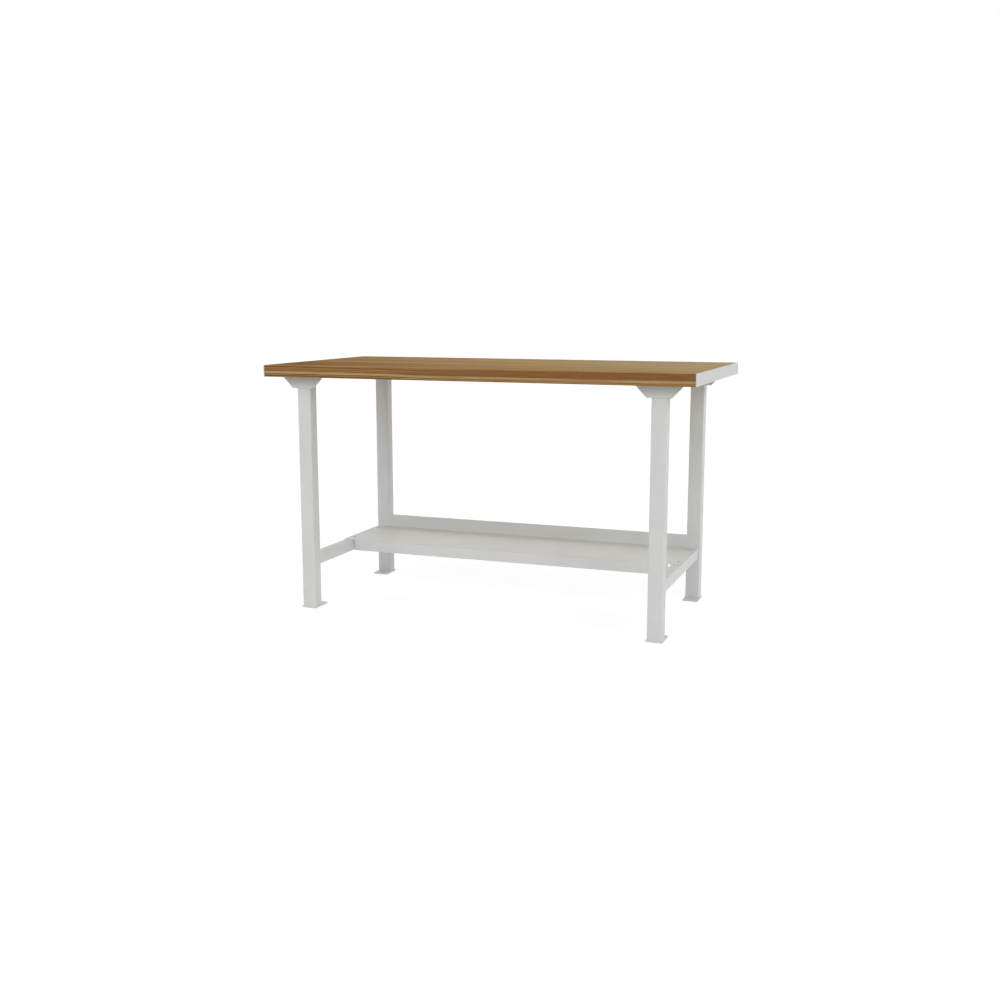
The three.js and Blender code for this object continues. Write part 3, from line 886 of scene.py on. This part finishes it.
def floor_material():
    """White floor that keeps a faint shadow where it is seen, and lights as a plain white floor."""
    material = bpy.data.materials.new("floor_white")
    material.use_nodes = True
    tree = material.node_tree
    tree.nodes.clear()
    plain = tree.nodes.new("ShaderNodeBsdfDiffuse")
    plain.inputs["Color"].default_value = (FLOOR_ALBEDO,) * 3 + (1.0,)
    shadow = tree.nodes.new("ShaderNodeBsdfDiffuse")
    shadow.inputs["Color"].default_value = (FLOOR_ALBEDO * FLOOR_SHADOW_SHARE,) * 3 + (1.0,)
    glow = tree.nodes.new("ShaderNodeEmission")
    glow.inputs["Strength"].default_value = FLOOR_GLOW
    seen = tree.nodes.new("ShaderNodeAddShader")
    tree.links.new(shadow.outputs[0], seen.inputs[0])
    tree.links.new(glow.outputs[0], seen.inputs[1])
    choice = tree.nodes.new("ShaderNodeMixShader")
    tree.links.new(ray_share(tree), choice.inputs[0])
    tree.links.new(plain.outputs[0], choice.inputs[1])
    tree.links.new(seen.outputs[0], choice.inputs[2])
    out = tree.nodes.new("ShaderNodeOutputMaterial")
    tree.links.new(choice.outputs[0], out.inputs["Surface"])
    return material


def make_floor():
    """Square floor just under the feet."""
    corners = [(-FLOOR_HALF, -FLOOR_HALF), (FLOOR_HALF, -FLOOR_HALF),
               (FLOOR_HALF, FLOOR_HALF), (-FLOOR_HALF, FLOOR_HALF)]
    mesh = bpy.data.meshes.new("floor")
    mesh.from_pydata([(x, y, -FLOOR_DROP) for x, y in corners], [], [(0, 1, 2, 3)])
    mesh.materials.append(floor_material())
    floor = bpy.data.objects.new("floor", mesh)
    bpy.context.scene.collection.objects.link(floor)


def make_lamp():
    """Wide distant lamp. Its turn is counted from the front towards the right."""
    lamp = bpy.data.lights.new("front_lamp", "SUN")
    lamp.energy = LAMP_LIGHT
    lamp.angle = LAMP_ANGLE
    holder = bpy.data.objects.new("front_lamp", lamp)
    holder.rotation_euler = (math.pi / 2 - LAMP_ELEVATION, 0.0, LAMP_TURN)
    bpy.context.scene.collection.objects.link(holder)


def make_sky():
    """Surrounding that lights by its ring and shows as plain white."""
    world = bpy.data.worlds.new("studio")
    bpy.context.scene.world = world
    world.use_nodes = True
    tree = world.node_tree
    background = tree.nodes["Background"]
    background.inputs["Color"].default_value = (1.0, 1.0, 1.0, 1.0)
    direction = tree.nodes.new("ShaderNodeTexCoord").outputs["Generated"]
    split = tree.nodes.new("ShaderNodeSeparateXYZ")
    tree.links.new(direction, split.inputs[0])
    ramp = tree.nodes.new("ShaderNodeValToRGB")
    fill_ramp(ramp, [(position, (level,) * 3) for position, level in SKY_STOPS])
    tree.links.new(split.outputs[2], ramp.inputs[0])
    gain = tree.nodes.new("ShaderNodeMath")
    gain.operation = "MULTIPLY"
    gain.inputs[1].default_value = SKY_LIGHT
    tree.links.new(ramp.outputs[0], gain.inputs[0])
    strength = tree.nodes.new("ShaderNodeMapRange")
    tree.links.new(ray_share(tree), strength.inputs["Value"])
    tree.links.new(gain.outputs[0], strength.inputs["To Min"])
    strength.inputs["To Max"].default_value = 1.0
    tree.links.new(strength.outputs[0], background.inputs["Strength"])


def make_camera():
    lens = bpy.data.cameras.new("camera")
    lens.sensor_width = CAMERA_SENSOR_MM
    lens.lens = CAMERA_LENS_MM
    camera = bpy.data.objects.new("camera", lens)
    camera.location = CAMERA_PLACE
    camera.rotation_euler = (CAMERA_TILT, 0.0, CAMERA_TURN)
    bpy.context.scene.collection.objects.link(camera)
    bpy.context.scene.camera = camera


def make_table():
    """Every piece of the table. The rivet nuts stay as the model has them, in zinc."""
    slab("worktop_board", "worktop", BOARD_EDGE, BAND_EDGE, WOOD, "worktop_wood")
    shelf()
    screws()
    for end in ENDS:
        slab(f"end_band_{end}_strip", f"end_band_{end}", BOARD_EDGE, BAND_EDGE, BAND, "end_band")
        tube(f"side_rail_{end}", AXIS_Y, RAIL_CORNER)
        rail_welds(end)
        for row in ROWS:
            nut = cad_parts[f"rivet_nut_{end}_{row}"]
            nut.data.materials.clear()
            nut.data.materials.append(ZINC)
    for row, end in CORNERS:
        tube(f"leg_{row}_{end}", AXIS_Z, LEG_CORNER)
        foot_plate(row, end)
        head_bracket(row, end)
        corner_welds(row, end)


bpy.context.scene.view_settings.view_transform = "Standard"
make_camera()
make_sky()
make_lamp()
make_floor()
make_table()
